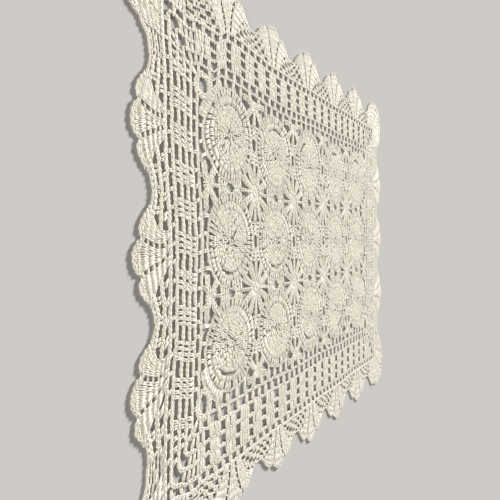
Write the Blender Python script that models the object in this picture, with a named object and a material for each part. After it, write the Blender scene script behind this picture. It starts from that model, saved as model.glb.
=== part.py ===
"""Crochet table runner, lying flat.

Fifteen round medallions (five along, three across) meet edge to edge. Eight stars fill the spaces between
them, and one border runs all the way round: two rows of mesh, a wide row of treble blocks with open ladders
between them, an outer mesh row, and a deep edging of twenty scalloped fans.

The runner's length lies along X, its width along Y, and it rests on Z = 0. The plan is drawn first on a
true grid, as areas that share their edges. Each piece is then drawn in by half the gap between pieces, and
its points go through lie(), which holds the unevenness of the cloth.
"""
from math import atan2, cos, hypot, pi, radians, sin

import bmesh
import bpy
from mathutils import Vector
from mathutils.geometry import delaunay_2d_cdt

# Driving dimensions, in metres.
PITCH = 0.078            # from one medallion's centre to the next
COLUMNS = 5
ROWS = 3
HALF_LENGTH = COLUMNS / 2
HALF_WIDTH = ROWS / 2
GAP = 0.0003             # between neighbouring pieces
CLOTH = 0.0022           # thickness of plain crochet, laid flat
EDGE = 0.0016            # thickness at the rims and the scalloped edge
ROSE = 0.0036            # height of the layered petals on a medallion

# One side of a medallion's rim, from the middle of the side to its corner, in pitches.
# Each row is (distance out from the centre, distance along the side).
RIM = 0.455
RIM_SIDE = (
    (RIM, 0.0),
    (0.462, 0.055),
    (0.5, 0.09),
    (0.5, 0.2),
    (0.401, 0.213),
)
RIM_ARC = (radians(36.5), radians(45))       # the round stretch near the corner
JOINT_END = 3            # the point of RIM_SIDE where a medallion parts from its neighbour
# The medallion's relief: (ring radius in pitches, height).
RELIEF = (
    (0.35, CLOTH),
    (0.235, ROSE),
    (0.12, 0.0029),
)
RELIEF_SIDES = 20

# The star between four medallions, in pitches.
STAR_CORE = 0.085
STAR_WAIST = 0.18
SHELL_SPREAD = (radians(22), radians(24))    # half the shell's clear angle at the core and at the waist
SHELL_EDGE = (27, 36, 45, 54, 63)            # directions, in degrees, of a shell's points on the rim

# The border, in pitches outwards from the medallions' field.
BLOCKS_START = 0.14
BLOCK_ROWS = 3
BLOCK_ROW = 0.0933
BAR = 0.035              # a chain bar between two holes of a ladder
MESH_LINE = 0.46         # centre line of the outer mesh row
SLOT = 0.06              # the slots' width in that row
VALLEY = 0.745           # from the field to the hollow between two fans
# Ladders on one side of the border: (count, spacing, clear width of their holes), spacing in pitches.
LONG_LADDERS = (18, 0.278, 0.105)
SHORT_LADDERS = (10, 0.31, 0.12)
LADDER_SHIFTS = (0.0, -0.083, 0.015, 0.0)    # the +X, +Y, -X and -Y sides' ladders lie this far along
LADDER_DRIFT = 0.12      # some of the -Y side's ladders lie up to this much towards -X
DRIFT_STRETCH = (-2.75, -0.3)    # and they are the ones between these places along it
CORNER_HOLE = 0.066      # radius of the round hole at each corner of the field
CORNER_HOLE_IN = 0.05
CORNER_HOLE_SIDES = 8
MITRE_HOLE = 0.036       # half the width of the chain space at the corner of the block row
MITRE_OUT = 0.33
# The hole between a half star and the border: (out from the field's edge, along it), in pitches.
HALF_STAR_HOLE = ((0.04, -0.08), (0.04, 0.08), (-0.02, 0.068), (-0.052, 0.0), (-0.02, -0.068))

# The scalloped edge.
# Half of a side fan: one round lobe in the middle, a smaller one beside it, then the slope to the hollow.
# Each row is (share of the fan's width from its middle, distance out from the field in pitches).
HALF_FAN = (
    (0.0, 0.976),
    (0.06, 0.968),
    (0.108, 0.932),
    (0.148, 0.874),
    (0.19, 0.9),
    (0.245, 0.896),
    (0.29, 0.862),
    (0.335, 0.815),
    (0.385, 0.775),
    (0.44, 0.752),
    (0.5, VALLEY),
)
CORNER_LOBES = 7
LOBE = 0.034             # how far a corner fan's lobe stands out, in pitches
LOBE_STEPS = 4
CORNER_REACH = 0.485     # corner fan, straight out from the outer mesh's corner
CORNER_POINTS = (0.09, 0.13, 0.13, 0.13)     # more than that on the diagonal, from the +X +Y corner round
CORNER_NARROWS = 6       # power of the cosine by which that point falls off to both sides
# How deep each fan is worked, as a share of the plain fan: the +X, +Y, -X and -Y sides, anticlockwise.
FAN_DEPTHS = (
    (1.05, 1.05, 1.05),
    (1.15, 1.07, 1.03, 1.02, 1.0),
    (0.9, 1.04, 1.0),
    (1.0, 1.03, 1.12, 1.1, 1.18),
)

# How unevenly the cloth lies.
WIDE_SIDE = 0.014        # the border on the -Y side was worked this much wider
WIDE_FROM = 1.3 * PITCH
WIDE_OVER = 0.75 * PITCH
END_BOW = 0.0026         # the -X end bows in at its middle
BOW_FROM = 2.0 * PITCH
BOW_OVER = 0.9 * PITCH
SLANT = 0.008            # the -X end reaches this much further out near the -Y side
SLANT_FROM = 0.7 * PITCH
SLANT_OVER = 0.8 * PITCH
SLANT_END = 1.8 * PITCH  # it starts this far from the middle of the length
SLANT_END_OVER = 0.7 * PITCH
PULL = 0.007             # the fans of the -X end are pulled this much towards -Y at their middle
PULL_GROWS = 0.075       # and by this share of the distance more, towards the -Y side
PULL_FROM = 2.93 * PITCH
PULL_OVER = 0.25 * PITCH
PULL_ENDS = (-2.4 * PITCH, 2.2 * PITCH)      # there the pull has died away, over these lengths
PULL_FADES = (0.7 * PITCH, 0.5 * PITCH)
HITCH = 0.0065           # the nearer medallions of the +Y row, and the border beside them, lie this far to +Y
HITCH_X = (1.0 * PITCH, 1.0 * PITCH)         # where it starts, towards -X, and over what length
HITCH_Y = (0.4 * PITCH, 1.5 * PITCH)         # where it starts on the -Y side, and over what width
HITCH_END = (2.65 * PITCH, 0.2 * PITCH)      # where it has died away towards -X, and over what length
HITCH_TURN = 0.5 * PITCH     # beyond this width it ends sooner,
HITCH_SLOPE = 0.3            # by this share of the rest of the width
SWAY = 0.0019            # the -X side's rows lean: the inner ones this far to -Y, the outer ones to +Y
SWAY_FROM = HALF_LENGTH * PITCH
SWAY_OVER = 0.56 * PITCH
CROWD = (                # how far out the -X side's rows lie: (place across it, distance)
    (-1.4 * PITCH, -0.001),
    (-1.0 * PITCH, 0.0016),
    (0.0, 0.0),
    (0.5 * PITCH, 0.0015),
    (1.0 * PITCH, 0.0031),
    (1.4 * PITCH, 0.0024),
)
CROWD_FROM = 2.3 * PITCH         # it starts this far from the middle of the length,
CROWD_OVER = 0.2 * PITCH
CROWD_END = 3.0 * PITCH          # and is taken back in the edging
CROWD_END_OVER = 0.25 * PITCH

CREAM = (0.745, 0.685, 0.565, 1.0)
YARN_ROUGHNESS = 0.9

SAME_POINT = 1e-6        # points closer than this are one
SHARPEST_MITRE = 0.4     # cosine at which drawing in a sharp corner stops growing
TO_MM = 1000.0           # flat areas are divided into triangles in millimetres
MM_TOLERANCE = 1e-5


def smooth_step(value):
    value = min(max(value, 0.0), 1.0)
    return value * value * (3 - 2 * value)


def crowding(y):
    """How far out the -X side's rows lie at a place across it."""
    if y < CROWD[0][0]:
        return CROWD[0][1]
    for (start, low), (end, high) in zip(CROWD, CROWD[1:]):
        if y < end:
            return low + (high - low) * (y - start) / (end - start)
    return CROWD[-1][1]


def lie(x, y):
    """Moves a point of the true plan to where the uneven cloth has it."""
    wide = WIDE_SIDE * smooth_step((-y - WIDE_FROM) / WIDE_OVER)
    reach = (HALF_WIDTH + MESH_LINE) * PITCH
    across = max(-1.0, min(1.0, y / reach))
    bow = END_BOW * cos(pi * across / 2) * smooth_step((-x - BOW_FROM) / BOW_OVER)
    slant = SLANT * smooth_step((-y - SLANT_FROM) / SLANT_OVER)
    slant *= smooth_step((-x - SLANT_END) / SLANT_END_OVER)
    pull = (PULL - PULL_GROWS * y) * smooth_step((-x - PULL_FROM) / PULL_OVER)
    pull *= smooth_step((y - PULL_ENDS[0]) / PULL_FADES[0]) * smooth_step((PULL_ENDS[1] - y) / PULL_FADES[1])
    end = HITCH_END[0] - HITCH_SLOPE * max(y - HITCH_TURN, 0.0)
    hitch = HITCH * smooth_step((-x - HITCH_X[0]) / HITCH_X[1]) * smooth_step((y + HITCH_Y[0]) / HITCH_Y[1])
    hitch *= smooth_step((x + end) / HITCH_END[1])
    sway = SWAY * sin(2 * pi * min(max((-x - SWAY_FROM) / SWAY_OVER, 0.0), 1.0))
    crowd = crowding(y) * smooth_step((-x - CROWD_FROM) / CROWD_OVER)
    crowd *= 1 - smooth_step((-x - CROWD_END) / CROWD_END_OVER)
    return x + bow - slant - crowd, y - wide - pull + hitch - sway


def turned(point, quarter):
    """Turns a plan point by quarter turns about the origin."""
    x, y = point
    for _ in range(quarter % 4):
        x, y = -y, x
    return x, y


def rim_quarter():
    """A medallion's rim from the middle of its +X side up to just before the middle of its +Y side."""
    out = list(RIM_SIDE)
    out += [(RIM * cos(angle), RIM * sin(angle)) for angle in RIM_ARC]
    out += [(along, across) for across, along in reversed(RIM_SIDE[1:])]
    first = out[len(RIM_SIDE)]
    out.insert(len(RIM_SIDE) + len(RIM_ARC), (first[1], first[0]))
    return out


def medallion_rim(column, row):
    """The whole rim, anticlockwise, in pitches from the field's centre."""
    centre_x = column + 0.5 - HALF_LENGTH
    centre_y = row + 0.5 - HALF_WIDTH
    quarter = rim_quarter()
    rim = [turned(point, turn) for turn in range(4) for point in quarter]
    return [(centre_x + x, centre_y + y) for x, y in rim]


def star_outline(column, row):
    """Four shells on a round core. Each shell spreads out to the rims of its medallion."""
    start, end = SHELL_SPREAD
    reach = []
    for degrees in SHELL_EDGE:
        angle = radians(degrees)
        middle = cos(angle) + sin(angle)
        reach.append((angle, (middle - (middle * middle - 2 + 4 * RIM * RIM) ** 0.5) / 2))
    outline = []
    for turn in range(4):
        polar = [(start, STAR_CORE), (end, STAR_WAIST)]
        polar += reach
        polar += [(pi / 2 - end, STAR_WAIST), (pi / 2 - start, STAR_CORE)]
        polar += [(pi / 2, STAR_CORE)]
        outline += [turned((radius * cos(angle), radius * sin(angle)), turn) for angle, radius in polar]
    centre_x = column + 1 - HALF_LENGTH
    centre_y = row + 1 - HALF_WIDTH
    return [(centre_x + x, centre_y + y) for x, y in outline]


def side_halves(turn):
    """Half the field's size out to this side, and half its size along the side. Side 0 is +X, side 1 +Y."""
    if turn % 2:
        return HALF_WIDTH, HALF_LENGTH
    return HALF_LENGTH, HALF_WIDTH


def same(first, second):
    return hypot(first[0] - second[0], first[1] - second[1]) < SAME_POINT


def field_edge():
    """The line where the border meets the medallions, anticlockwise: their rims' outer stretches."""
    quarter = rim_quarter()
    before = [turned(point, 3) for point in quarter]
    half = len(quarter) // 2
    edge = []
    for turn in range(4):
        out_half, along_half = side_halves(turn)
        count = round(2 * along_half)
        for place in range(count):
            # This medallion's rim on the +X side, from its lower corner to its upper corner.
            stretch = before[half:] + quarter[:half + 1]
            if place > 0:
                stretch = before[JOINT_END:half] + stretch
            if place < count - 1:
                stretch = stretch + quarter[half + 1:len(quarter) - JOINT_END]
            for x, y in stretch:
                point = turned((x + out_half - 0.5, y + place + 0.5 - along_half), turn)
                if not edge or not same(point, edge[-1]):
                    edge.append(point)
    if same(edge[0], edge[-1]):
        edge.pop()
    return edge


def ring(centre_x, centre_y, radius, sides):
    turns = [2 * pi * step / sides for step in range(sides)]
    return [(centre_x + radius * cos(a), centre_y + radius * sin(a)) for a in turns]


def box_hole(out, along, out_size, along_size):
    """A four-sided hole on the +X side, anticlockwise."""
    a = out_size / 2
    b = along_size / 2
    return [(out - a, along - b), (out + a, along - b), (out + a, along + b), (out - a, along + b)]


def ladder_place(turn, along):
    """Where the uneven stitches put a place along a side's row of ladders."""
    if turn == 3:
        start, end = DRIFT_STRETCH
        share = min(max((along - start) / (end - start), 0.0), 1.0)
        along -= LADDER_DRIFT * sin(pi * share) ** 2
    return along + LADDER_SHIFTS[turn]


def border_holes():
    """Every hole through the border: ladders, slots, half-star holes and corner holes."""
    holes = []
    for turn in range(4):
        out_half, along_half = side_halves(turn)
        count, spacing, width = LONG_LADDERS if turn % 2 else SHORT_LADDERS
        side = []
        for number in range(count):
            true_place = (number - (count - 1) / 2) * spacing
            along = ladder_place(turn, true_place)
            beside = ladder_place(turn, true_place + spacing / 4)
            for row in range(BLOCK_ROWS):
                out = out_half + BLOCKS_START + (row + 0.5) * BLOCK_ROW
                side.append(box_hole(out, along, BLOCK_ROW - BAR, width))
            side.append(box_hole(out_half + MESH_LINE, beside, SLOT, width))
        for joint in range(1, round(2 * along_half)):
            middle = joint - along_half
            side.append([(out_half + out, middle + along) for out, along in HALF_STAR_HOLE])
        # The corner between this side and the next one.
        middle = (out_half - CORNER_HOLE_IN, along_half - CORNER_HOLE_IN)
        side.append(ring(*middle, CORNER_HOLE, CORNER_HOLE_SIDES))
        side.append(box_hole(out_half + MITRE_OUT, along_half + MITRE_OUT, 2 * MITRE_HOLE, 2 * MITRE_HOLE))
        holes += [[turned(point, turn) for point in hole] for hole in side]
    return holes


def scalloped_edge():
    """The outer edge of the fans, anticlockwise."""
    edge = []
    valley_out = VALLEY - MESH_LINE
    whole_fan = [(-across, out) for across, out in reversed(HALF_FAN[1:])] + list(HALF_FAN[:-1])
    for turn in range(4):
        out_half, along_half = side_halves(turn)
        depths = FAN_DEPTHS[turn]
        width = 2 * along_half / len(depths)
        side = []
        for fan, depth in enumerate(depths):
            for across, out in whole_fan:
                along = (fan + 0.5 + across) * width - along_half
                side.append((out_half + VALLEY + (out - VALLEY) * depth, along))
        # The corner fan, swung about the outer mesh's corner.
        corner = (out_half + MESH_LINE, along_half + MESH_LINE)
        past_side = atan2(MESH_LINE, valley_out)
        steps = CORNER_LOBES * LOBE_STEPS
        for step in range(steps):
            angle = (2 * step / steps - 1) * (pi / 4 + past_side)
            past = max(abs(angle) - pi / 4, 0.0)
            slope = smooth_step(past / past_side)
            reach = (CORNER_REACH + (valley_out - CORNER_REACH) * slope) / cos(past)
            reach += CORNER_POINTS[turn] * max(cos(angle), 0.0) ** CORNER_NARROWS
            reach += LOBE * (1 - slope) * abs(sin(pi * step / LOBE_STEPS))
            side.append((corner[0] + reach * cos(pi / 4 + angle), corner[1] + reach * sin(pi / 4 + angle)))
        edge += [turned(point, turn) for point in side]
    return edge


def drawn_in(loop, by):
    """The anticlockwise loop with each side moved inwards by the given distance."""
    moved = []
    count = len(loop)
    for index in range(count):
        before = Vector(loop[index - 1])
        here = Vector(loop[index])
        after = Vector(loop[(index + 1) % count])
        first = (here - before).normalized()
        second = (after - here).normalized()
        inward = Vector((-first.y - second.y, first.x + second.x))
        inward.normalize()
        mitre = max(inward.dot(Vector((-first.y, first.x))), SHARPEST_MITRE)
        moved.append(tuple(here + inward * (by / mitre)))
    return moved


def laid(loop):
    """A loop in pitches, sized and laid where the uneven cloth has it."""
    return [lie(x * PITCH, y * PITCH) for x, y in loop]


def fill(loops, rings=()):
    """Triangles between the first loop and the others, through the points of the inner rings."""
    points = []
    faces = []
    edges = []
    for loop in loops:
        faces.append(list(range(len(points), len(points) + len(loop))))
        points += [Vector((x * TO_MM, y * TO_MM)) for x, y in loop]
    for inner in rings:
        start = len(points)
        points += [Vector((x * TO_MM, y * TO_MM)) for x, y in inner]
        if len(inner) > 1:
            edges += [(start + i, start + (i + 1) % len(inner)) for i in range(len(inner))]
    verts, _, tris, sources, _, owners = delaunay_2d_cdt(points, edges, faces, 1, MM_TOLERANCE)
    if len(verts) != len(points):
        raise ValueError("the plan's lines cross each other")
    back = [source[0] for source in sources]
    return [[back[i] for i in tri] for tri, owner in zip(tris, owners) if owner and set(owner) == {0}]


def plate(name, material, height, outline, holes=(), rings=()):
    """A closed sheet on Z = 0, from anticlockwise loops in metres. height(index) gives a point's top."""
    loops = [outline] + list(holes)
    flat = [point for loop in loops for point in loop]
    inner = [point for loop in rings for point in loop]
    mesh = bmesh.new()
    bottom = [mesh.verts.new((x, y, 0.0)) for x, y in flat]
    top = [mesh.verts.new((x, y, height(i))) for i, (x, y) in enumerate(flat + inner)]
    for tri in fill(loops, rings):
        mesh.faces.new([top[i] for i in tri])
    for tri in fill(loops):
        mesh.faces.new([bottom[i] for i in reversed(tri)])
    start = 0
    for loop in loops:
        count = len(loop)
        for i in range(count):
            a = start + i
            b = start + (i + 1) % count
            mesh.faces.new([bottom[a], bottom[b], top[b]])
            mesh.faces.new([bottom[a], top[b], top[a]])
        start += count
    bmesh.ops.recalc_face_normals(mesh, faces=mesh.faces)
    data = bpy.data.meshes.new(name)
    mesh.to_mesh(data)
    mesh.free()
    data.materials.append(material)
    piece = bpy.data.objects.new(name, data)
    bpy.context.scene.collection.objects.link(piece)
    return piece


def make_material(name, colour):
    material = bpy.data.materials.new(name)
    material.use_nodes = True
    surface = material.node_tree.nodes["Principled BSDF"]
    surface.inputs["Base Color"].default_value = colour
    surface.inputs["Roughness"].default_value = YARN_ROUGHNESS
    return material


def make_medallion(column, row, shift, material):
    centre_x = column + 0.5 - HALF_LENGTH
    centre_y = row + 0.5 - HALF_WIDTH
    outline = laid(drawn_in(medallion_rim(column, row), GAP / 2 / PITCH))
    rings = []
    heights = []
    for radius, level in RELIEF:
        rings.append(laid(ring(centre_x, centre_y, radius, RELIEF_SIDES)))
        heights += [level] * RELIEF_SIDES
    rings.append(laid([(centre_x, centre_y)]))
    heights.append(CLOTH)
    rim_points = len(outline)

    def height(index):
        return EDGE if index < rim_points else heights[index - rim_points]

    piece = plate(f"medallion_{row + 1}_{column + 1}", material, height, outline, rings=rings)
    piece.location = shift


def make_star(column, row, shift, material):
    outline = laid(drawn_in(star_outline(column, row), GAP / 2 / PITCH))
    piece = plate(f"star_{row + 1}_{column + 1}", material, lambda index: CLOTH, outline)
    piece.location = shift


def make_border(outer, shift, material):
    inner = laid(drawn_in(field_edge(), -GAP / 2 / PITCH))
    holes = [laid(hole) for hole in border_holes()]

    def height(index):
        return EDGE if index < len(outer) else CLOTH

    piece = plate("border", material, height, outer, holes=[inner] + holes)
    piece.location = shift


def main():
    for old in list(bpy.data.objects):
        bpy.data.objects.remove(old, do_unlink=True)
    outer = laid(scalloped_edge())
    middle_x = (min(x for x, y in outer) + max(x for x, y in outer)) / 2
    middle_y = (min(y for x, y in outer) + max(y for x, y in outer)) / 2
    shift = (-middle_x, -middle_y, 0.0)
    medallion_yarn = make_material("medallion_yarn", CREAM)
    star_yarn = make_material("star_yarn", CREAM)
    border_yarn = make_material("border_yarn", CREAM)
    make_border(outer, shift, border_yarn)
    for row in range(ROWS):
        for column in range(COLUMNS):
            make_medallion(column, row, shift, medallion_yarn)
    for row in range(ROWS - 1):
        for column in range(COLUMNS - 1):
            make_star(column, row, shift, star_yarn)


main()
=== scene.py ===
"""The crochet runner's looks: every solid of the frame is worked again in yarn, stitch by stitch.

Lengths are in millimetres on a plan whose origin is the centre of the medallions' field, and places on the
border are in pitches. Strands are arrays of plan points with their height above the floor. lay() puts them
where the uneven cloth has them, in metres, in the frame's own place.
"""
from math import atan2, cos, pi, radians, sin

import bpy
import numpy as np
from mathutils import Matrix, Vector


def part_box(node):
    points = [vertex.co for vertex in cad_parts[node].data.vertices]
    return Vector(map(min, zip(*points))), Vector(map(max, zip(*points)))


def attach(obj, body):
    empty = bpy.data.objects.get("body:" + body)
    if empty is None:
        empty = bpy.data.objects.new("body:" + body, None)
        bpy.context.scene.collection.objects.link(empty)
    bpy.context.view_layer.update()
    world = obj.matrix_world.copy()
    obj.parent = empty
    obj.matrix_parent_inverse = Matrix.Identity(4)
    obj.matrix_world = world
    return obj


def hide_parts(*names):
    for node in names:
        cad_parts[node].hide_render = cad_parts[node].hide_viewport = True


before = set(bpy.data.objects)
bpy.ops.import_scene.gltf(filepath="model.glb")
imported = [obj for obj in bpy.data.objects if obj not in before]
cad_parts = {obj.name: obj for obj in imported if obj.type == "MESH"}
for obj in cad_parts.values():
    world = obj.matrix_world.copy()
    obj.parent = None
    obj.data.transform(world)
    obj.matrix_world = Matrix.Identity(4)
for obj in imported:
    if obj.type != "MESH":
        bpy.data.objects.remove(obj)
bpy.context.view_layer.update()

# The plan, as in the frame.
PITCH = 78.0
COLUMNS = 5
ROWS = 3
HALF_LENGTH = COLUMNS / 2
HALF_WIDTH = ROWS / 2
RIM = 0.455              # a medallion's round rim, in pitches
JOINT = (0.09, 0.2)      # from a side's middle to the two ends of the bump that joins the neighbour

# The yarn and its stitches.
YARN = 0.64              # radius of a strand
FINE = 0.54              # radius where it is drawn tight
FULL = 0.74              # radius where it lies loose
SIDES = 4                # a strand's sides
GIRTH = 1.08             # its corners stand out this much more, so that it looks as thick as a round one
END_TAPER = 0.8          # a strand's ends, over its own width
PRESSED = 0.8            # a strand's height over its width
PLIES = 3                # threads that are twisted into one strand
PLY_STEP = 1.0           # from one thread to the next along the strand
PLY_START = 9.0          # each strand's twist starts somewhere in this length
STITCH = 3.6             # length of one chain stitch
V_PHASES = (0.0, 0.4, 0.65)      # along one stitch: wide end, narrow end, dip under the next
V_ACROSS = (-1.0, -0.25, -0.55)
V_RISE = (0.0, 0.32, -0.2)
FLOOR_LEVEL = 0.62       # height of a post's foot
TOP_LEVEL = 0.95         # height of a chain row
ROW_SPREAD = 0.55        # half the width of a chain row, between its strands' middles
BACK = 1.05              # radius of the strand at a chain's back, over that of the others
BACK_BELOW = 0.45        # and how far it lies below them
POST_SPREAD = 0.6        # half the distance between a post's two legs
LEG_SPREAD = (0.75, 0.9, 1.0)    # how much of it they have at the foot, the middle and the head
LEG_UNEVEN = (0.85, 1.15)        # and how that differs from post to post
POST_BOW = 0.2           # a post's middle stands this much higher
WRAP = (0.28, 0.62)      # where the strand round a post starts and ends, as shares of the post
WRAP_REACH = 1.3         # how far it reaches to the sides, over the post's own spread
WRAP_RISE = 0.2          # how far that strand stands above the legs
BLOCK_RISE = 0.5         # and in the blocks
MESH_SPREAD = 0.85       # a post's spread in the mesh rows
THICK_SPREAD = 0.75      # and where posts stand close
KNOT_SHARES = (0.0, 0.55, 1.05)  # along a short stitch: its foot, its widest place and its head
KNOT_ACROSS = (0.3, 0.85, 0.75)
KNOT_RISE = (-0.12, 0.08, -0.1)
TWIST = 8.0              # length over which the strands of a long treble wind round each other once
TWIST_SPREAD = 0.45      # from its middle line to each of them
LONG_LEVEL = 1.1         # height of a long treble
LONG_UNEVEN = (-0.1, 0.2)        # and how that differs from one to the next
LONG_PARTS = 9           # points on its line
SLACK = 0.22             # how far a stitch strays from its true place
STRAY_RISE = 0.09        # and from its true height
ROW_STRAY = 0.3          # how far a chain row strays to its sides
OVERLAP = 0.12           # how far the posts of the blocks and fans run past their rows, over their length

# Height, spread and yarn of chain rows.
MESH_ROW = (TOP_LEVEL, 0.75, YARN)
BLOCK_ROW = (TOP_LEVEL, 1.0, 0.78)
FAN_ROW = (0.65, ROW_SPREAD, FINE)
NET_ROW = (0.8, 0.22, 0.48)
LOOSE_NET_ROW = (TOP_LEVEL, 1.3, 0.8)
LOBE_ROW = (0.9, 0.8, YARN)
# Points on the lines that they follow.
RING_POINTS = 24
FAN_POINTS = 61
NET_POINTS = 31
EDGE_POINTS = 121

# The border, in pitches outwards from the field.
LINES = (0.037, 0.133, 0.228, 0.321, 0.42, 0.51)       # its chain rows
MESH_POST = 0.152        # from one post to the next in the inner mesh
MESH_STRAY = 0.006       # how far they stray along it
TIES = (-0.228, -0.076, 0.076, 0.228)    # from a medallion's middle to the posts that tie it to the border
LONG_LADDERS = (18, 0.278, 0.105)        # on a long side: how many, from one to the next, their width
SHORT_LADDERS = (10, 0.31, 0.12)
LADDER_SHIFTS = (0.0, -0.083, 0.015, 0.0)        # how far all of a side's ladders are shifted
LADDER_DRIFT = 0.12      # how far those of the last side are shifted more
DRIFT_STRETCH = (-2.75, -0.3)    # between these places on it
BLOCK_ROWS = 3
POSTS_A_BLOCK = 4
BLOCK_STRAY = 0.005      # how far they stray along the row
BLOCK_END = 0.03         # how far the rows of posts go on past the field's corner
MITRE_GAP = 0.03         # from a row's outer corner to the first of the posts round it
CORNER_POST = 0.12       # from one post to the next where the blocks' first row nears a corner
CORNER_GAP = 0.02        # from the last ladder to the first of them
MESH_END = 0.04          # how far short of MESH_LINE the outer mesh ends at a corner
CORNER_RADIUS = 0.04     # of the chain rows' corners
CORNER_HOLE = 0.066      # radius of the round hole in a corner
CORNER_HOLE_IN = 0.05    # its middle, inwards from the field's edges
HOLE_RINGS = (0.02, 0.028)       # from the hole to its first chain round, and on to the second
SHELL_RIM = 0.535        # outer radius of the shell between a corner medallion and that hole
SHELL_SPREAD = 0.42      # half its angle, in radians
SHELL_POSTS = 11
SHELL_FOOT = 0.01        # how far inside the medallion's rim they start
SHELL_TIE = 0.13         # from the hole's middle to the end of its slanting tie
# Two more ties beside the hole, from foot to head: (outwards, from the field's corner along the side).
SIDE_TIES = (
    ((-0.03, -0.125), (LINES[0], -0.12)),
    ((-0.125, -0.03), (-0.12, LINES[0])),
)
HALF_STAR_IN = 0.105     # a half star's middle, inwards from the field's edge

# The edging.
VALLEY = 0.745           # the hollow between two fans, outwards from the field
MESH_LINE = 0.46         # the outer mesh's middle line. The corner fans have their centres where two meet
# Half a fan's edge: from its middle line, and outwards from the field.
HALF_FAN = (
    (0.0, 0.976),
    (0.06, 0.968),
    (0.108, 0.932),
    (0.148, 0.874),
    (0.19, 0.9),
    (0.245, 0.896),
    (0.29, 0.862),
    (0.335, 0.815),
    (0.385, 0.775),
    (0.44, 0.752),
    (0.5, VALLEY),
)
CORNER_LOBES = 7
LOBE = 0.034             # how far they stand out
LOBE_GAP = 0.012         # half the gap between two of them
LOBE_POSTS = 6
CORNER_REACH = 0.485     # the corner fan's radius beside its point
CORNER_POINTS = (0.09, 0.13, 0.13, 0.13)         # how far the points stand out beyond that
CORNER_NARROWS = 6       # how sharply they narrow
FAN_DEPTHS = (           # each fan's depth, as a share of the plain fan, side by side
    (1.05, 1.05, 1.05),
    (1.15, 1.07, 1.03, 1.02, 1.0),
    (0.9, 1.04, 1.0),
    (1.0, 1.03, 1.12, 1.1, 1.18),
)
FAN_MIDDLE = (0.51, 0.58, 0.655, 0.73, 0.808, 0.885)     # the fan's rows on its middle line
FAN_VALLEY = (0.51, 0.552, 0.594, 0.637, 0.68, 0.722)    # the same rows in the hollow between two fans
# How they come down from one to the other: (from the middle line, share of the height between them).
FAN_BELL = ((0.0, 1.0), (0.08, 0.97), (0.16, 0.8), (0.25, 0.6), (0.33, 0.37), (0.4, 0.14), (0.46, 0.0))
CORNER_ROWS = (0.0, 0.12, 0.27, 0.43, 0.6, 0.78)     # the corner fan's rows, as shares of its depth
CORNER_BLEND = (0.3, 0.5)        # from its middle: where its rows start and end to meet those of the side
# The bands of posts in a fan, row by row. The middle one: (half its width, posts). The one beside it: (from,
# to, posts).
FAN_CENTRE = ((0.012, 2), (0.015, 2), (0.028, 3), (0.045, 3), (0.07, 4), (0.1, 6))
FAN_SIDE = (
    (0.08, 0.11, 2),
    (0.085, 0.14, 3),
    (0.098, 0.18, 3),
    (0.115, 0.22, 4),
    (0.14, 0.29, 5),
    (0.165, 0.375, 7),
)
NET_STEP = 0.155         # from one gap of the net to the next
NET_GAPS = 4             # gaps in half a row of it
NET_POST = 0.018         # half the distance between a cluster's two posts
NEAR_END = 2             # the side whose net has half as many rows
RIM_STITCH = 4.2         # length of a chain stitch round a lobe
RIM_IN = 0.012           # that chain row, inwards from the fan's edge
RIM_PAST = 0.01          # and how far it runs past its lobe
LOBE_POST_IN = 0.026     # the heads of a lobe's posts, inwards from the edge
LOBE_FOOT = 0.8          # the width of a lobe's feet, over that of its heads
EDGE_IN = 0.032          # the last chain row, inwards from the edge

# How unevenly the cloth lies. The near end is that of -X. FROM is where a change starts, as a distance from
# the plan's middle lines, and OVER is the length in which it grows to the whole of it.
WIDE_SIDE = 14.0         # the -Y side lies this much further out
WIDE_FROM = 1.3 * PITCH
WIDE_OVER = 0.75 * PITCH
END_BOW = 2.6            # the near end bows in, most at its middle
BOW_FROM = 2.0 * PITCH
BOW_OVER = 0.9 * PITCH
SLANT = 8.0              # its -Y half lies further out
SLANT_FROM = 0.7 * PITCH
SLANT_OVER = 0.8 * PITCH
SLANT_END = 1.8 * PITCH
SLANT_END_OVER = 0.7 * PITCH
PULL = 7.0               # its outer mesh and edging are pulled to -Y
PULL_GROWS = 0.075       # more by this for each millimetre to -Y
PULL_FROM = 2.93 * PITCH
PULL_OVER = 0.25 * PITCH
PULL_ENDS = (-2.4 * PITCH, 2.2 * PITCH)
PULL_FADES = (0.7 * PITCH, 0.5 * PITCH)
HITCH = 6.5              # its medallions and inner mesh are pulled to +Y
HITCH_X = (1.0 * PITCH, 1.0 * PITCH)     # where that starts and over what length
HITCH_Y = (0.4 * PITCH, 1.5 * PITCH)
HITCH_END = (2.65 * PITCH, 0.2 * PITCH)  # where it ends
HITCH_TURN = 0.5 * PITCH         # beyond this the end slants
HITCH_SLOPE = 0.3
SWAY = 1.9               # its border sways to both sides
SWAY_FROM = HALF_LENGTH * PITCH
SWAY_OVER = 0.56 * PITCH
# Its inner mesh is crowded outwards: (place along Y in pitches, how far).
CROWD = ((-1.4, -1.0), (-1.0, 1.6), (0.0, 0.0), (0.5, 1.5), (1.0, 3.1), (1.4, 2.4))
CROWD_FROM = 2.3 * PITCH
CROWD_OVER = 0.2 * PITCH
CROWD_END = 3.0 * PITCH
CROWD_END_OVER = 0.25 * PITCH
BROAD_STRAY = 0.5        # everything strays by this in broad waves
NARROW_STRAY = 0.35      # and by this in narrow ones
LIFT = 0.12              # and lies off the floor by as much as twice this

MM = 0.001
UP = np.array((0.0, 0.0, 1.0))
SEED = 15
chance = np.random.default_rng(SEED)

# The middle medallion's centre is the plan's origin.
near_corner, far_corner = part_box("medallion_2_3")
field_centre = np.array(((near_corner.x + far_corner.x) / 2, (near_corner.y + far_corner.y) / 2, 0.0))


def smooth_step(value):
    value = np.clip(value, 0.0, 1.0)
    return value * value * (3 - 2 * value)


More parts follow.
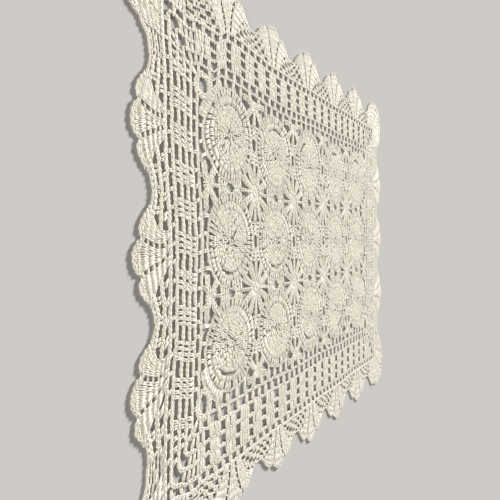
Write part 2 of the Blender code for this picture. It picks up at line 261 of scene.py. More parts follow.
def lay(points):
    """Strands of the plan, in millimetres, laid where the uneven cloth has them, in metres."""
    x, y, z = points[..., 0], points[..., 1], points[..., 2]
    wide = WIDE_SIDE * smooth_step((-y - WIDE_FROM) / WIDE_OVER)
    across = np.clip(y / ((HALF_WIDTH + MESH_LINE) * PITCH), -1.0, 1.0)
    bow = END_BOW * np.cos(pi * across / 2) * smooth_step((-x - BOW_FROM) / BOW_OVER)
    slant = SLANT * smooth_step((-y - SLANT_FROM) / SLANT_OVER)
    slant = slant * smooth_step((-x - SLANT_END) / SLANT_END_OVER)
    pull = (PULL - PULL_GROWS * y) * smooth_step((-x - PULL_FROM) / PULL_OVER)
    pull = pull * smooth_step((y - PULL_ENDS[0]) / PULL_FADES[0])
    pull = pull * smooth_step((PULL_ENDS[1] - y) / PULL_FADES[1])
    end = HITCH_END[0] - HITCH_SLOPE * np.maximum(y - HITCH_TURN, 0.0)
    hitch = HITCH * smooth_step((-x - HITCH_X[0]) / HITCH_X[1]) * smooth_step((y + HITCH_Y[0]) / HITCH_Y[1])
    hitch = hitch * smooth_step((x + end) / HITCH_END[1])
    sway = SWAY * np.sin(2 * pi * np.clip((-x - SWAY_FROM) / SWAY_OVER, 0.0, 1.0))
    places, crowds = np.transpose(CROWD)
    crowd = np.interp(y / PITCH, places, crowds) * smooth_step((-x - CROWD_FROM) / CROWD_OVER)
    crowd = crowd * (1 - smooth_step((-x - CROWD_END) / CROWD_END_OVER))
    # The lengths of these waves have no common measure, so that no repeat shows.
    stray_x = BROAD_STRAY * np.sin(y / 17 + 1.3) + NARROW_STRAY * np.sin(x / 11 + y / 23)
    stray_y = BROAD_STRAY * np.sin(x / 19 + 0.7) + NARROW_STRAY * np.sin(y / 13 - x / 29)
    lift = LIFT * (1 + np.sin(x / 41 + 0.6) * np.sin(y / 37 + 1.9))
    laid_x = x + bow - slant - crowd + stray_x
    laid_y = y - wide - pull + hitch - sway + stray_y
    return np.stack([laid_x, laid_y, z + lift], -1) * MM + field_centre


def unit(vectors):
    return vectors / np.maximum(np.linalg.norm(vectors, axis=-1, keepdims=True), 1e-12)


class Yarn:
    """Collects strands and makes one mesh of them."""

    def __init__(self):
        self.batches = []

    def add(self, paths, radius=YARN):
        """paths is (strands, points, 3)."""
        self.batches.append((np.asarray(paths, float), radius))

    def surface(self):
        """Vertices, quads, texture places and roundness of all strands, as tubes with flat ends."""
        all_verts = []
        all_quads = []
        all_places = []
        all_round = []
        start = 0
        for paths, radius in self.batches:
            spine = lay(paths)
            strands, count, _ = spine.shape
            ahead = unit(np.gradient(spine, axis=1))
            side = unit(np.cross(ahead, UP))
            top = np.cross(side, ahead)
            taper = np.ones(count)
            taper[[0, -1]] = END_TAPER
            size = (radius * MM * GIRTH * taper)[None, :, None, None]
            corners = pi / SIDES + 2 * pi / SIDES * np.arange(SIDES)
            ring = np.cos(corners)[:, None] * side[:, :, None, :]
            ring = ring + PRESSED * np.sin(corners)[:, None] * top[:, :, None, :]
            verts = spine[:, :, None, :] + ring * size
            index = start + np.arange(strands * count * SIDES).reshape(strands, count, SIDES)
            here = index[:, :-1]
            there = index[:, 1:]
            quads = np.stack([here, there, np.roll(there, -1, 2), np.roll(here, -1, 2)], -1).reshape(-1, 4)
            caps = np.concatenate([index[:, 0], index[:, -1, ::-1]])
            steps = np.linalg.norm(np.diff(spine, axis=1), axis=-1) / MM
            far = np.concatenate([np.zeros((strands, 1)), np.cumsum(steps, 1)], 1)
            far += chance.uniform(0, PLY_START, (strands, 1))
            left = (np.arange(SIDES) / SIDES)[None, None, :]
            left, behind = np.broadcast_arrays(left, far[:, :-1, None])
            _, before = np.broadcast_arrays(left, far[:, 1:, None])
            right = left + 1 / SIDES
            place = np.stack([np.stack([left, behind], -1), np.stack([left, before], -1),
                              np.stack([right, before], -1), np.stack([right, behind], -1)], -2)
            all_verts.append(verts.reshape(-1, 3))
            all_quads += [quads, caps]
            all_places += [place.reshape(-1, 2), np.zeros((len(caps) * SIDES, 2))]
            all_round += [np.ones(len(quads), bool), np.zeros(len(caps), bool)]
            start += strands * count * SIDES
        return [np.concatenate(parts) for parts in (all_verts, all_quads, all_places, all_round)]

    def piece(self, name, slot, material, *nodes):
        """The strands as one piece, which stands for the named nodes."""
        verts, quads, places, smooth = self.surface()
        data = bpy.data.meshes.new(name)
        data.vertices.add(len(verts))
        data.vertices.foreach_set("co", verts.ravel())
        data.loops.add(quads.size)
        data.loops.foreach_set("vertex_index", quads.ravel())
        data.polygons.add(len(quads))
        data.polygons.foreach_set("loop_start", np.arange(0, quads.size, 4))
        data.polygons.foreach_set("use_smooth", smooth)
        data.uv_layers.new(name="yarn").data.foreach_set("uv", places.ravel())
        data.update(calc_edges=True)
        data.materials.append(material)
        made = bpy.data.objects.new(name, data)
        bpy.context.scene.collection.objects.link(made)
        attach(made, "root")
        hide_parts(*nodes)
        return made


class Line:
    """A line of plan points that is walked by distance."""

    def __init__(self, points):
        self.points = np.asarray(points, float)
        steps = np.linalg.norm(np.diff(self.points, axis=0), axis=1)
        self.marks = np.concatenate([[0.0], np.cumsum(steps)])
        self.length = self.marks[-1]

    def at(self, distance):
        x = np.interp(distance, self.marks, self.points[:, 0])
        y = np.interp(distance, self.marks, self.points[:, 1])
        return np.stack([x, y], -1)

    def left(self, distance, reach=0.6):
        """The unit vectors to its left, from the points this far behind and ahead."""
        ahead = self.at(np.minimum(distance + reach, self.length))
        ahead = ahead - self.at(np.maximum(distance - reach, 0.0))
        return unit(np.stack([-ahead[..., 1], ahead[..., 0]], -1))


def chain(yarn, points, level=TOP_LEVEL, spread=ROW_SPREAD, radius=FINE, stitch=STITCH):
    """A row of chain stitches: two strands that close to a V once a stitch, and one at their back."""
    line = Line(points)
    count = max(1, round(line.length / stitch))
    phase = np.append((np.arange(count)[:, None] + np.array(V_PHASES)).ravel(), count)
    across = np.append(np.tile(V_ACROSS, count), V_ACROSS[0]) * spread
    height = level + np.append(np.tile(V_RISE, count), V_RISE[0])
    distance = phase * line.length / count
    across = across + chance.uniform(-SLACK, SLACK, len(phase)) / 2
    left = line.left(distance)
    stray = np.interp(phase, np.arange(count + 1), chance.normal(0.0, ROW_STRAY, count + 1))
    at = line.at(distance) + left * stray[:, None]
    for hand in (-1, 1):
        strand = at + left * (hand * across)[:, None]
        yarn.add(np.column_stack([strand, height])[None], radius)
    under = at[::len(V_PHASES)]
    back_level = max(level - BACK_BELOW, BACK * radius)
    yarn.add(np.column_stack([under, np.full(len(under), back_level)])[None], BACK * radius)


def legs(yarn, feet, heads, shares, across, height, radius=YARN):
    """Strands from feet to heads, this far to the left and this high at these shares of the way."""
    feet = np.asarray(feet, float)
    run = (np.asarray(heads, float) - feet)[:, None]
    left = unit(np.stack([-run[..., 1], run[..., 0]], -1))
    share = np.array(shares)[None, :, None]
    across = np.array(across)[None, :, None] * chance.uniform(*LEG_UNEVEN, (len(feet), 1, 1))
    spots = feet[:, None] + run * share + left * across
    rise = chance.uniform(-STRAY_RISE, STRAY_RISE, (len(feet), 1, 1))
    yarn.add(np.concatenate([spots, np.array(height)[None, :, None] + rise], -1), radius)


def posts(yarn, feet, heads, low=FLOOR_LEVEL, high=TOP_LEVEL, spread=POST_SPREAD, radius=YARN, wrap=True,
          bow=POST_BOW, over=WRAP_RISE):
    """Treble posts: two legs side by side, and the strand that slants over them."""
    feet = np.asarray(feet, float) + chance.uniform(-SLACK, SLACK, np.shape(feet))
    heads = np.asarray(heads, float) + chance.uniform(-SLACK, SLACK, np.shape(heads))
    middle = (low + high) / 2
    for hand in (spread, -spread):
        across = hand * np.array(LEG_SPREAD)
        legs(yarn, feet, heads, (0.0, 0.5, 1.0), across, (low, middle + bow, high), radius)
    if wrap:
        shares = (WRAP[0], sum(WRAP) / 2, WRAP[1])
        across = spread * np.array((-WRAP_REACH, 0.0, WRAP_REACH))
        legs(yarn, feet, heads, shares, across, (middle, middle + over, middle), FINE)


def knots(yarn, feet, heads, level, radius=YARN):
    """Short stitches: two strands that open to a V and stand up in the middle."""
    height = level + np.array(KNOT_RISE)
    for hand in (1, -1):
        legs(yarn, feet, heads, KNOT_SHARES, hand * np.array(KNOT_ACROSS), height, radius)


def bundle(yarn, points, widths, count):
    """Long trebles side by side along a plan line, this far spread at its start, middle and end."""
    line = Line(points)
    share = np.linspace(0, 1, LONG_PARTS)
    spine = line.at(share * line.length)
    left = line.left(share * line.length)
    width = np.interp(share, (0.0, 0.5, 1.0), widths)
    for place in np.linspace(-0.5, 0.5, count):
        spots = spine + left * (place * width)[:, None]
        height = np.full(LONG_PARTS, LONG_LEVEL + chance.uniform(*LONG_UNEVEN))
        twist(yarn, np.column_stack([spots, height])[None], line.length / TWIST)


def twist(yarn, paths, turns):
    """Two strands wound round each path this many times. paths is (cords, points, 3)."""
    ahead = np.gradient(paths, axis=1)
    left = unit(np.cross(UP, ahead))
    share = np.linspace(0, 1, paths.shape[1])
    angle = 2 * pi * (turns * share[None] + chance.uniform(0, 1, (len(paths), 1)))
    for hand in (0.0, pi):
        offset = np.cos(angle + hand)[..., None] * left + np.sin(angle + hand)[..., None] * UP
        yarn.add(paths + TWIST_SPREAD * offset)


def polar(centre, radius, angle):
    """Plan points at these distances and angles from a centre."""
    return np.stack([centre[0] + radius * np.cos(angle), centre[1] + radius * np.sin(angle)], -1)


def circle(centre, radius, points):
    return polar(centre, radius, np.linspace(0, 2 * pi, points + 1))


def rim_at(along):
    """How far out a medallion's rim is at these distances to the side, all in pitches from its middle."""
    return (RIM ** 2 - along ** 2) ** 0.5


def to_rim(point, angle, centres):
    """Distance from a point, in a direction, to the nearest medallion's rim."""
    way = np.array((cos(angle), sin(angle)))
    nearest = None
    for centre in centres:
        gap = np.asarray(centre, float) - point
        along = gap @ way
        inside = (RIM * PITCH) ** 2 - (gap @ gap - along ** 2)
        if along > 0 and inside > 0:
            reach = along - inside ** 0.5
            nearest = reach if nearest is None else min(nearest, reach)
    return nearest


# The close stitches in a medallion's middle wind outwards in a spiral.
SPIRAL = (2.1, 20.8)     # radius at its start and end
SPIRAL_STEP = 3.0        # how much further out each turn is
SPIRAL_STITCH = 2.8      # from one stitch to the next
SPIRAL_REACH = 3.6       # how long they are
SPIRAL_LEAN = 1.2        # how far they lean to either side
SPIRAL_STRAY = 0.6       # how far their ends stray in and out
SPIRAL_YARN = 0.68
SPIRAL_LEVEL = 1.05
# Its treble rounds: (inner radius, outer radius, posts).
ROUNDS = (
    (22.8, 29.2, 50),
    (28.7, 34.6, 47),
)
ROUND_STRAY = 0.5        # how far their feet stray in and out
ROUND_TURNS = (0.014, 0.018)     # how far the posts stray to their sides, and how far they lean, in radians
CREVICE = 2.0            # how far the first round draws away from the spiral on one side
CREVICE_NARROWS = 8      # how narrow that opening is
RING = 34.9              # radius of the chain round
EYE = 1.7                # radius of the ring in the middle
EYE_STITCH = 2.2
# Half of the bump that joins a neighbour: its posts' feet and heads from the side's middle, in pitches.
BUMP_FEET = (0.05, 0.097, 0.146, 0.195)
BUMP_HEADS = (0.096, 0.13, 0.165, 0.198)
BUMP_END = 0.4           # how far short of the neighbour the heads end
BUMP_ROW = 1.1           # and the chain row over them


def make_medallion(column, row, material):
    centre = ((column + 0.5 - HALF_LENGTH) * PITCH, (row + 0.5 - HALF_WIDTH) * PITCH)
    ground = Yarn()
    rounds = Yarn()
    start = chance.uniform(0, 2 * pi)
    count = int(pi * (SPIRAL[1] ** 2 - SPIRAL[0] ** 2) / (SPIRAL_STEP * SPIRAL_STITCH))
    radius = (SPIRAL[0] ** 2 + SPIRAL_STEP * SPIRAL_STITCH / pi * np.arange(count)) ** 0.5
    angle = start + 2 * pi * radius / SPIRAL_STEP
    lean = chance.normal(0.0, SPIRAL_LEAN, count) / radius
    feet = polar(centre, radius + chance.uniform(-SPIRAL_STRAY, SPIRAL_STRAY, count), angle + lean)
    ends = radius + SPIRAL_REACH + chance.uniform(-SPIRAL_STRAY, SPIRAL_STRAY, count)
    knots(ground, feet, polar(centre, ends, angle), SPIRAL_LEVEL, SPIRAL_YARN)
    for inner, outer, count in ROUNDS:
        first = inner == ROUNDS[0][0]
        angle = start + 2 * pi * np.arange(count) / count + chance.normal(0, ROUND_TURNS[0], count)
        lean = chance.normal(0, ROUND_TURNS[1], count)
        open_side = CREVICE * np.maximum(np.cos(angle - start), 0.0) ** CREVICE_NARROWS * first
        foot = inner + open_side + chance.uniform(-ROUND_STRAY, ROUND_STRAY, count)
        posts(ground, polar(centre, foot, angle + lean), polar(centre, outer, angle), low=0.95, high=1.0,
              spread=0.8, wrap=first, bow=0.0, over=0.05)
    chain(rounds, circle(centre, RING, 2 * RING_POINTS), level=0.9, spread=0.7)
    chain(rounds, circle(centre, EYE, RING_POINTS), level=1.1, spread=0.35, stitch=EYE_STITCH)
    for x, y in ((1, 0), (0, 1), (-1, 0), (0, -1)):
        if not (0 <= column + x < COLUMNS and 0 <= row + y < ROWS):
            continue
        out = np.array((x, y), float)
        along = np.array((-y, x), float)
        for hand in (-1, 1):
            foot = np.array(BUMP_FEET) * hand
            head = np.array(BUMP_HEADS) * hand
            feet = centre + (rim_at(foot)[:, None] * out + foot[:, None] * along) * PITCH
            heads = centre + (0.5 * out + head[:, None] * along) * PITCH - BUMP_END * out
            posts(ground, feet, heads)
            bar = [centre + (0.5 * out + hand * at * along) * PITCH - BUMP_ROW * out for at in JOINT]
            chain(rounds, bar)
    name = f"medallion_{row + 1}_{column + 1}"
    rounds_piece = rounds.piece(f"{name}_rounds", "medallion_yarn", material, name)
    posts_piece = ground.piece(f"{name}_posts", "medallion_yarn", material, name)


# A star's close rounds: (inner radius, outer radius, stitches, where the first one is, in stitches, how far
# they stray, in radians, level).
STAR_ROUNDS = (
    (0.5, 4.4, 12, 0.0, 0.0, 1.3),
    (4.0, 7.8, 22, 0.5, 0.05, 1.2),
    (7.6, 11.0, 26, 0.0, 0.04, 1.1),
)
ARM_FROM = 6.0           # where its arms start, under the close rounds
STAR_CORE = 11.0         # where they part
ARM_IN = 0.8             # how far they run onto a medallion's rim
AXIS_ARM = 0.3           # from a star's middle to the joint bumps, in pitches
STAR_ARMS = (0, 28, 62)  # directions of a star's arms in each quarter, in degrees
ARM_STRAY = 0.02         # how far they stray from those, in radians
# How wide an arm is at its start, its middle and its end, and its trebles.
RIM_ARM = ((2.6, 4.0, 5.2), 4)
JOINT_ARM = ((1.0, 1.2, 1.6), 2)


def make_star(column, row, material):
    centre = np.array(((column + 1 - HALF_LENGTH) * PITCH, (row + 1 - HALF_WIDTH) * PITCH))
    rims = [centre + PITCH / 2 * np.array(way) for way in ((1, 1), (-1, 1), (-1, -1), (1, -1))]
    core = Yarn()
    arms = Yarn()
    for inner, outer, count, first, stray, level in STAR_ROUNDS:
        angle = 2 * pi * (np.arange(count) + first) / count
        if stray:
            angle = angle + chance.normal(0, stray, count)
        knots(core, polar(centre, inner, angle), polar(centre, outer, angle), level)
    for quarter in range(4):
        for degrees in STAR_ARMS:
            angle = quarter * pi / 2 + radians(degrees) + chance.normal(0, ARM_STRAY)
            end = to_rim(centre, angle, rims) + ARM_IN if degrees else AXIS_ARM * PITCH
            line = polar(centre, np.array((ARM_FROM, STAR_CORE, end)), angle)
            bundle(arms, line, *(RIM_ARM if degrees else JOINT_ARM))
    name = f"star_{row + 1}_{column + 1}"
    arms_piece = arms.piece(f"{name}_arms", "star_yarn", material, name)
    core_piece = core.piece(f"{name}_core", "star_yarn", material, name)


def side_halves(turn):
    """Half the field's size out to this side and along it. Side 0 is +X, side 1 +Y."""
    return (HALF_WIDTH, HALF_LENGTH) if turn % 2 else (HALF_LENGTH, HALF_WIDTH)


def turned(points, turn):
    """Plan points turned by this many quarters of a turn."""
    for _ in range(turn % 4):
        points = np.stack([-points[..., 1], points[..., 0]], -1)
    return points


def beside(turn, out, along):
    """Plan points at distances out of the field's edge and along that side, in pitches."""
    out, along = np.broadcast_arrays(np.asarray(out, float), np.asarray(along, float))
    return turned(np.stack([side_halves(turn)[0] + out, along], -1), turn) * PITCH


def around(out):
    """A chain row's line all round the field, with rounded corners."""
    points = []
    for turn in range(4):
        _, along_half = side_halves(turn)
        straight = along_half + out - CORNER_RADIUS
        points += [beside(turn, out, -straight), beside(turn, out, straight)]
        for angle in (pi / 8, pi / 4, 3 * pi / 8):
            past = CORNER_RADIUS * sin(angle)
            points.append(beside(turn, out - CORNER_RADIUS * (1 - cos(angle)), straight + past))
    points.append(points[0])
    return points


def make_inner_mesh(yarn, rows):
    """The two mesh rows next to the medallions, and the half stars between them."""
    for line in LINES[:2]:
        chain(rows, around(line), *MESH_ROW)
    for turn in range(4):
        _, along_half = side_halves(turn)
        count = round(2 * (along_half + LINES[1]) / MESH_POST)
        along = (np.arange(count + 1) - count / 2) * MESH_POST
        along = along + chance.normal(0, MESH_STRAY, len(along))
        end = along_half + LINES[0]
        posts(yarn, beside(turn, LINES[0], np.clip(along, -end, end)), beside(turn, LINES[1], along),
              spread=MESH_SPREAD, radius=FULL)
        middles = np.arange(round(2 * along_half)) + 0.5 - along_half
        for spot in TIES:
            feet, heads = (beside(turn, out, middles + spot) for out in (rim_at(spot) - 0.5, LINES[0]))
            posts(yarn, feet, heads, spread=MESH_SPREAD, radius=FULL)
        for joint in range(1, round(2 * along_half)):
            make_half_star(yarn, rows, turn, joint - along_half)
        make_corner_shell(yarn, rows, turn)


HALF_STAR_ROUNDS = ((0.4, 3.4, 7), (2.8, 5.6, 15))       # (inner radius, outer radius, stitches)
HALF_STAR_STRAY = 0.06   # how far the stitches stray round its middle, in radians
HALF_STAR_LEVEL = 1.2
# Its arms on one side, in pitches outwards and along the border, their widths in millimetres and how many
# trebles they have.
HALF_STAR_ARMS = (
    (((-0.09, 0.035), (-0.02, 0.09), (0.03, 0.105)), (1.3, 1.8, 1.8), 2),
    (((-0.1, 0.045), (-0.05, 0.12), (-0.045, 0.215)), (2.0, 3.2, 3.4), 3),
    (((-0.12, 0.035), (-0.165, 0.095), (-0.225, 0.155)), (2.0, 4.0, 4.6), 4),
)
HALF_STAR_AXIS = (((-0.15, 0.0), (-AXIS_ARM, 0.0)), (1.2, 1.2, 1.6), 2)  # the arm between them


def make_half_star(yarn, rows, turn, joint):
    centre = np.array((-HALF_STAR_IN, 0.0)) * PITCH

    def put(point):
        """From the half star's own plan, outwards along X, to the runner's."""
        point = np.asarray(point, float) / PITCH
        return beside(turn, point[..., 0], joint + point[..., 1])

    for inner, outer, count in HALF_STAR_ROUNDS:
        angle = 2 * pi * np.arange(count) / count + chance.normal(0, HALF_STAR_STRAY, count)
        feet, heads = polar(centre, inner, angle), polar(centre, outer, angle)
        knots(yarn, put(feet), put(heads), HALF_STAR_LEVEL, FULL)
    for hand in (-1, 1):
        for points, widths, count in HALF_STAR_ARMS:
            bundle(rows, put(np.array(points) * (1, hand) * PITCH), widths, count)
    points, widths, count = HALF_STAR_AXIS
    bundle(rows, put(np.array(points) * PITCH), widths, count)


def make_corner_shell(yarn, rows, turn):
    """The round hole in the field's corner, with its shell on the medallion and its ties to the border."""
    _, along_half = side_halves(turn)
    ring = CORNER_HOLE + HOLE_RINGS[0]

    def put(inwards, radius, angle):
        """Round a middle that lies this far in from both edges of the field."""
        out, along = polar((-inwards, along_half - inwards), radius, angle).T
        return beside(turn, out, along)

    for radius in (ring, ring + HOLE_RINGS[1]):
        chain(rows, put(CORNER_HOLE_IN, radius, np.linspace(0, 2 * pi, RING_POINTS + 1)), *BLOCK_ROW)
    angle = pi / 4 + np.linspace(-1, 1, SHELL_POSTS) * SHELL_SPREAD
    shell = put(0.5, SHELL_RIM, angle)
    posts(yarn, put(0.5, RIM - SHELL_FOOT, angle), shell, low=0.8, spread=THICK_SPREAD, radius=FULL)
    chain(rows, shell, spread=0.7)
    for angle in (0.0, pi / 4, pi / 2):
        reach = SHELL_TIE if angle == pi / 4 else LINES[0] + CORNER_HOLE_IN
        foot, head = (put(CORNER_HOLE_IN, radius, np.array([angle])) for radius in (ring, reach))
        posts(yarn, foot, head)
    for tie in SIDE_TIES:
        foot, head = (beside(turn, [out], [along_half + along]) for out, along in tie)
        posts(yarn, foot, head)


def ladder_place(turn, along):
    """Where the uneven stitches put places along a side's row of ladders."""
    if turn == 3:
        start, end = DRIFT_STRETCH
        along = along - LADDER_DRIFT * np.sin(pi * np.clip((along - start) / (end - start), 0.0, 1.0)) ** 2
    return along + LADDER_SHIFTS[turn]


def make_blocks(yarn, rows):
    """The wide row of treble blocks and ladders, and the outer mesh row."""
    for line in LINES[2:]:
        chain(rows, around(line), *BLOCK_ROW)
    for turn in range(4):
        _, along_half = side_halves(turn)
        count, spacing, hole = LONG_LADDERS if turn % 2 else SHORT_LADDERS
        ladders = (np.arange(count) - (count - 1) / 2) * spacing
        step = (spacing - hole) / POSTS_A_BLOCK
        in_block = (np.arange(POSTS_A_BLOCK) - (POSTS_A_BLOCK - 1) / 2) * step
        blocks = ((ladders[:-1] + spacing / 2)[:, None] + in_block).ravel()
        dense = np.arange(ladders[-1] + (hole + step) / 2, along_half + LADDER_DRIFT, step)
        sparse = np.arange(ladders[-1] + hole / 2 + CORNER_GAP, along_half + LADDER_DRIFT, CORNER_POST)
        for row in range(BLOCK_ROWS):
            ends = dense if row else sparse
            places = ladder_place(turn, np.concatenate([-ends[::-1], blocks, ends]))
            places = places[np.abs(places) < along_half + BLOCK_END]
            inner, outer = LINES[row + 1], LINES[row + 2]
            places = places + chance.normal(0, BLOCK_STRAY, len(places))
            past = OVERLAP * (outer - inner)
            posts(yarn, beside(turn, inner - past, places), beside(turn, outer + past, places),
                  low=0.85, high=1.05, spread=THICK_SPREAD, radius=FULL, over=BLOCK_RISE)
            make_mitre(yarn, turn, row, inner, outer)
        reach = along_half + MESH_LINE - MESH_END
        half = int(reach / spacing * 2)
        mesh = ladder_place(turn, np.arange(-half, half + 1) * spacing / 2)
        mesh = mesh[np.abs(mesh) < reach]
        feet, heads = (beside(turn, line, mesh) for line in LINES[4:])
        posts(yarn, feet, heads, spread=MESH_SPREAD, radius=FULL)


def make_mitre(yarn, turn, row, inner, outer):
    """Posts of one block row round the corner after this side, fanned out between its two lines."""
    _, along_half = side_halves(turn)
    count = row + 3 if row else 2
    share = (np.arange(count) + 0.5) / count
    share = share[1:] if row else share
    feet = inner - share * inner
    heads = outer - (MITRE_GAP + share * (outer - MITRE_GAP))
    for past_corner in (False, True):
        ends = []
        for line, place in ((inner, feet), (outer, heads)):
            out, along = np.full(len(place), line), place
            if past_corner:
                out, along = along, out
            ends.append(beside(turn, out, along_half + along))
        posts(yarn, *ends, spread=THICK_SPREAD, radius=FULL)


class Fan:
    """One fan's rows and edge as plan points, at places t from its middle line in pitches of its base."""

    def __init__(self, turn, middle=None, size=1.0):
        self.turn = turn
        self.middle = middle
        self.size = size
        self.corner = middle is None
        loose = turn == NEAR_END and not self.corner
        self.net_rows = 2 if loose else 1
        self.net_row = LOOSE_NET_ROW if loose else NET_ROW

    def row(self, number, t):
        """Places on one of its rows."""
        t = np.asarray(t, float)
        if self.corner:
            base = self.corner_base(t)
            at_side = (FAN_VALLEY[number] - LINES[5]) / (VALLEY - LINES[5])
            share = np.interp(np.abs(t), CORNER_BLEND, (CORNER_ROWS[number], at_side))
            return beside(self.turn, *(base + share[:, None] * (self.corner_tip(t) - base)).T)
        bell = np.interp(np.abs(t), *np.transpose(FAN_BELL))
        out = FAN_VALLEY[number] + (FAN_MIDDLE[number] - FAN_VALLEY[number]) * bell * self.size
        return beside(self.turn, out, self.middle + t)

    def edge(self, t, inwards):
        """The scalloped edge, less a distance inwards in pitches."""
        t = np.asarray(t, float)
        if self.corner:
            tip = self.corner_tip(t, LOBE)
            return beside(self.turn, *(tip - inwards * unit(tip - self.corner_base(t))).T)
        across, outs = np.transpose(HALF_FAN)
        out = VALLEY + (np.interp(np.abs(t), across, outs) - VALLEY) * self.size - inwards
        return beside(self.turn, out, self.middle + t)

    def corner_base(self, t):
        """Along the outer mesh's last line, from one valley round the corner to the other."""
        _, along_half = side_halves(self.turn)
        bend = LINES[5]
        far = np.clip(1 - np.abs(t) * 2, 0.0, 1.0) * bend
        out = np.where(t < 0, bend, far)
        along = np.where(t < 0, far, bend)
        return np.stack([out, along_half + along], -1)

    def corner_tip(self, t, lobe=0.0):
        """Its outer edge, with lobes that stand out this far."""
        _, along_half = side_halves(self.turn)
        valley_out = VALLEY - MESH_LINE
        past_side = atan2(MESH_LINE, valley_out)
        angle = 2 * t * (pi / 4 + past_side)
        past = np.maximum(np.abs(angle) - pi / 4, 0.0)
        slope = smooth_step(past / past_side)
        reach = (CORNER_REACH + (valley_out - CORNER_REACH) * slope) / np.cos(past)
        reach = reach + CORNER_POINTS[self.turn] * np.maximum(np.cos(angle), 0.0) ** CORNER_NARROWS
        reach = reach + lobe * (1 - slope) * np.abs(np.sin(pi * CORNER_LOBES * (t + 0.5)))
        return polar((MESH_LINE, along_half + MESH_LINE), reach, pi / 4 + angle)


def make_fan(yarn, rows, fan, bands, lobes, net_from):
    """bands[row] lists (from, to, posts) of its bands of trebles. From net_from[row] on, it is a net."""
    last_row = len(bands) - 1
    for row in range(1, last_row + 1):
        for before, now in zip(bands[row - 1], bands[row]):
            feet = fan.row(row - 1, np.linspace(before[0], before[1], now[2]))
            heads = fan.row(row, np.linspace(now[0], now[1], now[2]))
            past = (heads - feet) * OVERLAP
            posts(yarn, feet - past, heads + past, low=0.88, high=1.0, spread=THICK_SPREAD, radius=FULL,
                  bow=0.0, over=0.15)
        far = net_from[row]
        chain(rows, fan.row(row, np.linspace(-far, far, FAN_POINTS)), *FAN_ROW)
        if row % fan.net_rows:
            continue
        middles = 0.5 - NET_STEP * (np.arange(NET_GAPS) + row // fan.net_rows % 2 / 2)
        net = np.concatenate([middles - NET_POST, middles + NET_POST])
        net = net[(net > far + NET_POST) & (net < 0.5)]
        net = np.concatenate([-net, net])
        posts(yarn, fan.row(row - fan.net_rows, net), fan.row(row, net), wrap=False)
        for start, end in ((-0.5, -far), (far, 0.5)):
            chain(rows, fan.row(row, np.linspace(start, end, NET_POINTS)), *fan.net_row)
    for start, end, count in lobes:
        spots = np.linspace(start, end, count)
        middle = (start + end) / 2
        feet = fan.row(last_row, middle + (spots - middle) * LOBE_FOOT)
        posts(yarn, feet, fan.edge(spots, LOBE_POST_IN), spread=THICK_SPREAD, radius=FULL, wrap=False)
        rim = fan.edge(np.linspace(start - RIM_PAST, end + RIM_PAST, 2 * count + 1), RIM_IN)
        chain(rows, rim, *LOBE_ROW, RIM_STITCH)
    chain(rows, fan.edge(np.linspace(-0.5, 0.5, EDGE_POINTS), EDGE_IN))


def side_bands():
    """The bands of a side's fan: the middle one, and one on each side of it."""
    bands = []
    for (half, count), (near, far, beside_count) in zip(FAN_CENTRE, FAN_SIDE):
        bands.append([(-half, half, count), (near, far, beside_count), (-far, -near, beside_count)])
    return bands


SIDE_LOBES = ((-0.13, 0.13, 8), (0.17, 0.345, 6), (-0.345, -0.17, 6))    # (from, to, posts)
# The corner fan's bands, row by row: the middle one and those on one side of it.
CORNER_BANDS = (
    ((-0.03, 0.03, 2), (0.075, 0.15, 2), (0.2, 0.3, 3)),
    ((-0.035, 0.035, 3), (0.08, 0.16, 3), (0.21, 0.32, 3)),
    ((-0.035, 0.035, 3), (0.08, 0.165, 4), (0.21, 0.33, 4)),
    ((-0.04, 0.04, 4), (0.08, 0.17, 5), (0.21, 0.34, 5)),
    ((-0.042, 0.042, 5), (0.078, 0.172, 6), (0.205, 0.35, 6)),
    ((-0.045, 0.045, 6), (0.076, 0.175, 7), (0.205, 0.36, 7)),
)
CORNER_NET = (0.34, 0.34, 0.35, 0.36, 0.37, 0.38)        # where its net starts in each row


def mirrored(bands):
    """The bands with those of the other side."""
    return [list(row) + [(-b, -a, count) for a, b, count in row if a > 0] for row in bands]


def corner_lobes():
    """The corner fan's inner lobes, as bands of posts."""
    lobes = []
    for lobe in range(1, CORNER_LOBES - 1):
        middle = (lobe + 0.5) / CORNER_LOBES - 0.5
        half = 0.5 / CORNER_LOBES - LOBE_GAP
        lobes.append((middle - half, middle + half, LOBE_POSTS))
    return lobes


def make_border(material):
    """The posts of the meshes, the blocks and the long sides' fans make one piece, and the rest makes four
    more.
    """
    ground, mesh_rows, block_rows, short_edging, long_rows = (Yarn() for _ in range(5))
    make_inner_mesh(ground, mesh_rows)
    make_blocks(ground, block_rows)
    fans = ((short_edging, short_edging), (ground, long_rows))
    side_net = [far for _, far, _ in FAN_SIDE]
    for turn in range(4):
        _, along_half = side_halves(turn)
        yarn, rows = fans[turn % 2]
        for number, depth in enumerate(FAN_DEPTHS[turn]):
            fan = Fan(turn, number + 0.5 - along_half, depth)
            make_fan(yarn, rows, fan, side_bands(), SIDE_LOBES, side_net)
        make_fan(yarn, rows, Fan(turn), mirrored(CORNER_BANDS), corner_lobes(), CORNER_NET)
    parts = (
        ("mesh_rows", mesh_rows),
        ("block_rows", block_rows),
        ("short_edging", short_edging),
        ("long_edging_rows", long_rows),
    )
    others = [yarn.piece(name, "border_yarn", material, "border") for name, yarn in parts]
    ground.piece("border_posts", "border_yarn", material, "border")


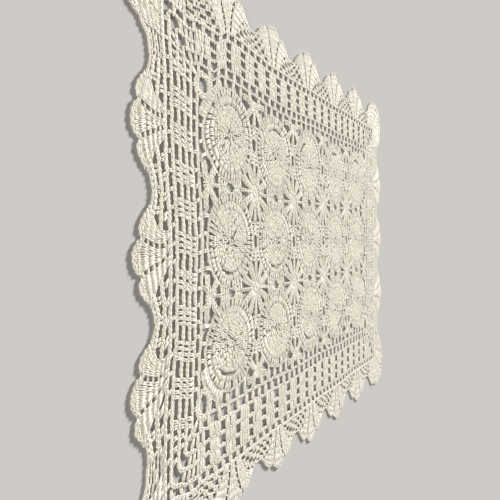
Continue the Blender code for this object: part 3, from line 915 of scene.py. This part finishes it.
def make_yarn_material():
    """Matt cotton: each strand has a shade of its own, and threads that wind round it."""
    material = bpy.data.materials.new("yarn")
    material.use_nodes = True
    nodes = material.node_tree.nodes
    link = material.node_tree.links.new
    surface = nodes["Principled BSDF"]
    surface.inputs["Roughness"].default_value = 0.85
    surface.inputs["Specular IOR Level"].default_value = 0.15
    surface.inputs["Sheen Weight"].default_value = 0.25
    surface.inputs["Sheen Roughness"].default_value = 0.5
    geometry = nodes.new("ShaderNodeNewGeometry")
    shade = nodes.new("ShaderNodeValToRGB")
    shade.color_ramp.elements[0].color = (0.78, 0.73, 0.61, 1)
    shade.color_ramp.elements[1].color = (0.86, 0.82, 0.72, 1)
    link(geometry.outputs["Random Per Island"], shade.inputs["Fac"])
    link(shade.outputs["Color"], surface.inputs["Base Color"])
    place = nodes.new("ShaderNodeUVMap")
    place.uv_map = "yarn"
    split = nodes.new("ShaderNodeSeparateXYZ")
    link(place.outputs["UV"], split.inputs["Vector"])
    around_yarn = nodes.new("ShaderNodeMath")
    around_yarn.operation = "MULTIPLY"
    around_yarn.inputs[1].default_value = PLIES * 2 * pi
    link(split.outputs["X"], around_yarn.inputs[0])
    along_yarn = nodes.new("ShaderNodeMath")
    along_yarn.operation = "MULTIPLY_ADD"
    along_yarn.inputs[1].default_value = 2 * pi / PLY_STEP
    link(split.outputs["Y"], along_yarn.inputs[0])
    link(around_yarn.outputs[0], along_yarn.inputs[2])
    ply = nodes.new("ShaderNodeMath")
    ply.operation = "SINE"
    link(along_yarn.outputs[0], ply.inputs[0])
    bump = nodes.new("ShaderNodeBump")
    bump.inputs["Strength"].default_value = 0.5
    bump.inputs["Distance"].default_value = 0.00012
    link(ply.outputs[0], bump.inputs["Height"])
    link(bump.outputs["Normal"], surface.inputs["Normal"])
    return material


def make_floor():
    data = bpy.data.meshes.new("floor")
    half = 8.0
    corners = [(-half, -half, 0), (half, -half, 0), (half, half, 0), (-half, half, 0)]
    data.from_pydata(corners, [], [(0, 1, 2, 3)])
    floor = bpy.data.objects.new("floor", data)
    bpy.context.scene.collection.objects.link(floor)
    material = bpy.data.materials.new("floor")
    material.use_nodes = True
    surface = material.node_tree.nodes["Principled BSDF"]
    surface.inputs["Base Color"].default_value = (0.56, 0.55, 0.54, 1)
    surface.inputs["Roughness"].default_value = 0.95
    surface.inputs["Specular IOR Level"].default_value = 0.0
    data.materials.append(material)


def make_sun(name, place, strength, wide, colour):
    """A soft light from far away in the direction of place, this many degrees wide."""
    data = bpy.data.lights.new(name, "SUN")
    data.energy = strength
    data.angle = radians(wide)
    data.color = colour
    light = bpy.data.objects.new(name, data)
    light.location = place
    light.rotation_euler = Vector(place).to_track_quat("Z", "Y").to_euler()
    bpy.context.scene.collection.objects.link(light)


def make_camera():
    """The photo's view: from beyond the -X end, low over the runner, with the camera on its side."""
    heading = radians(-1.48)
    down = radians(29.34)
    distance = 0.433
    aim = Vector((-0.1264, -0.0063, 0.0012)) + Vector(field_centre)
    forward = Vector((cos(down) * cos(heading), cos(down) * sin(heading), -sin(down)))
    level_right = forward.cross(Vector((0, 0, 1))).normalized()
    level_up = level_right.cross(forward)
    data = bpy.data.cameras.new("camera")
    data.sensor_width = 36.0
    data.lens = 37.56
    data.clip_start = 0.01
    camera = bpy.data.objects.new("camera", data)
    on_its_side = Matrix((level_up, -level_right, -forward)).transposed().to_4x4()
    camera.matrix_world = Matrix.Translation(aim - forward * distance) @ on_its_side
    bpy.context.scene.collection.objects.link(camera)
    bpy.context.scene.camera = camera


yarn_material = make_yarn_material()
for row in range(ROWS):
    for column in range(COLUMNS):
        make_medallion(column, row, yarn_material)
for row in range(ROWS - 1):
    for column in range(COLUMNS - 1):
        make_star(column, row, yarn_material)
make_border(yarn_material)

make_floor()
make_sun("key", (1.0, 0.5, 0.35), 7.8, 10.0, (1.0, 0.98, 0.95))
make_sun("fill", (-1.0, -0.25, 0.2), 2.7, 12.0, (1.0, 0.98, 0.96))
world = bpy.data.worlds.new("world")
world.use_nodes = True
world.node_tree.nodes["Background"].inputs["Color"].default_value = (1.0, 0.98, 0.96, 1)
world.node_tree.nodes["Background"].inputs["Strength"].default_value = 0.19
bpy.context.scene.world = world
bpy.context.scene.view_settings.view_transform = "Standard"
make_camera()
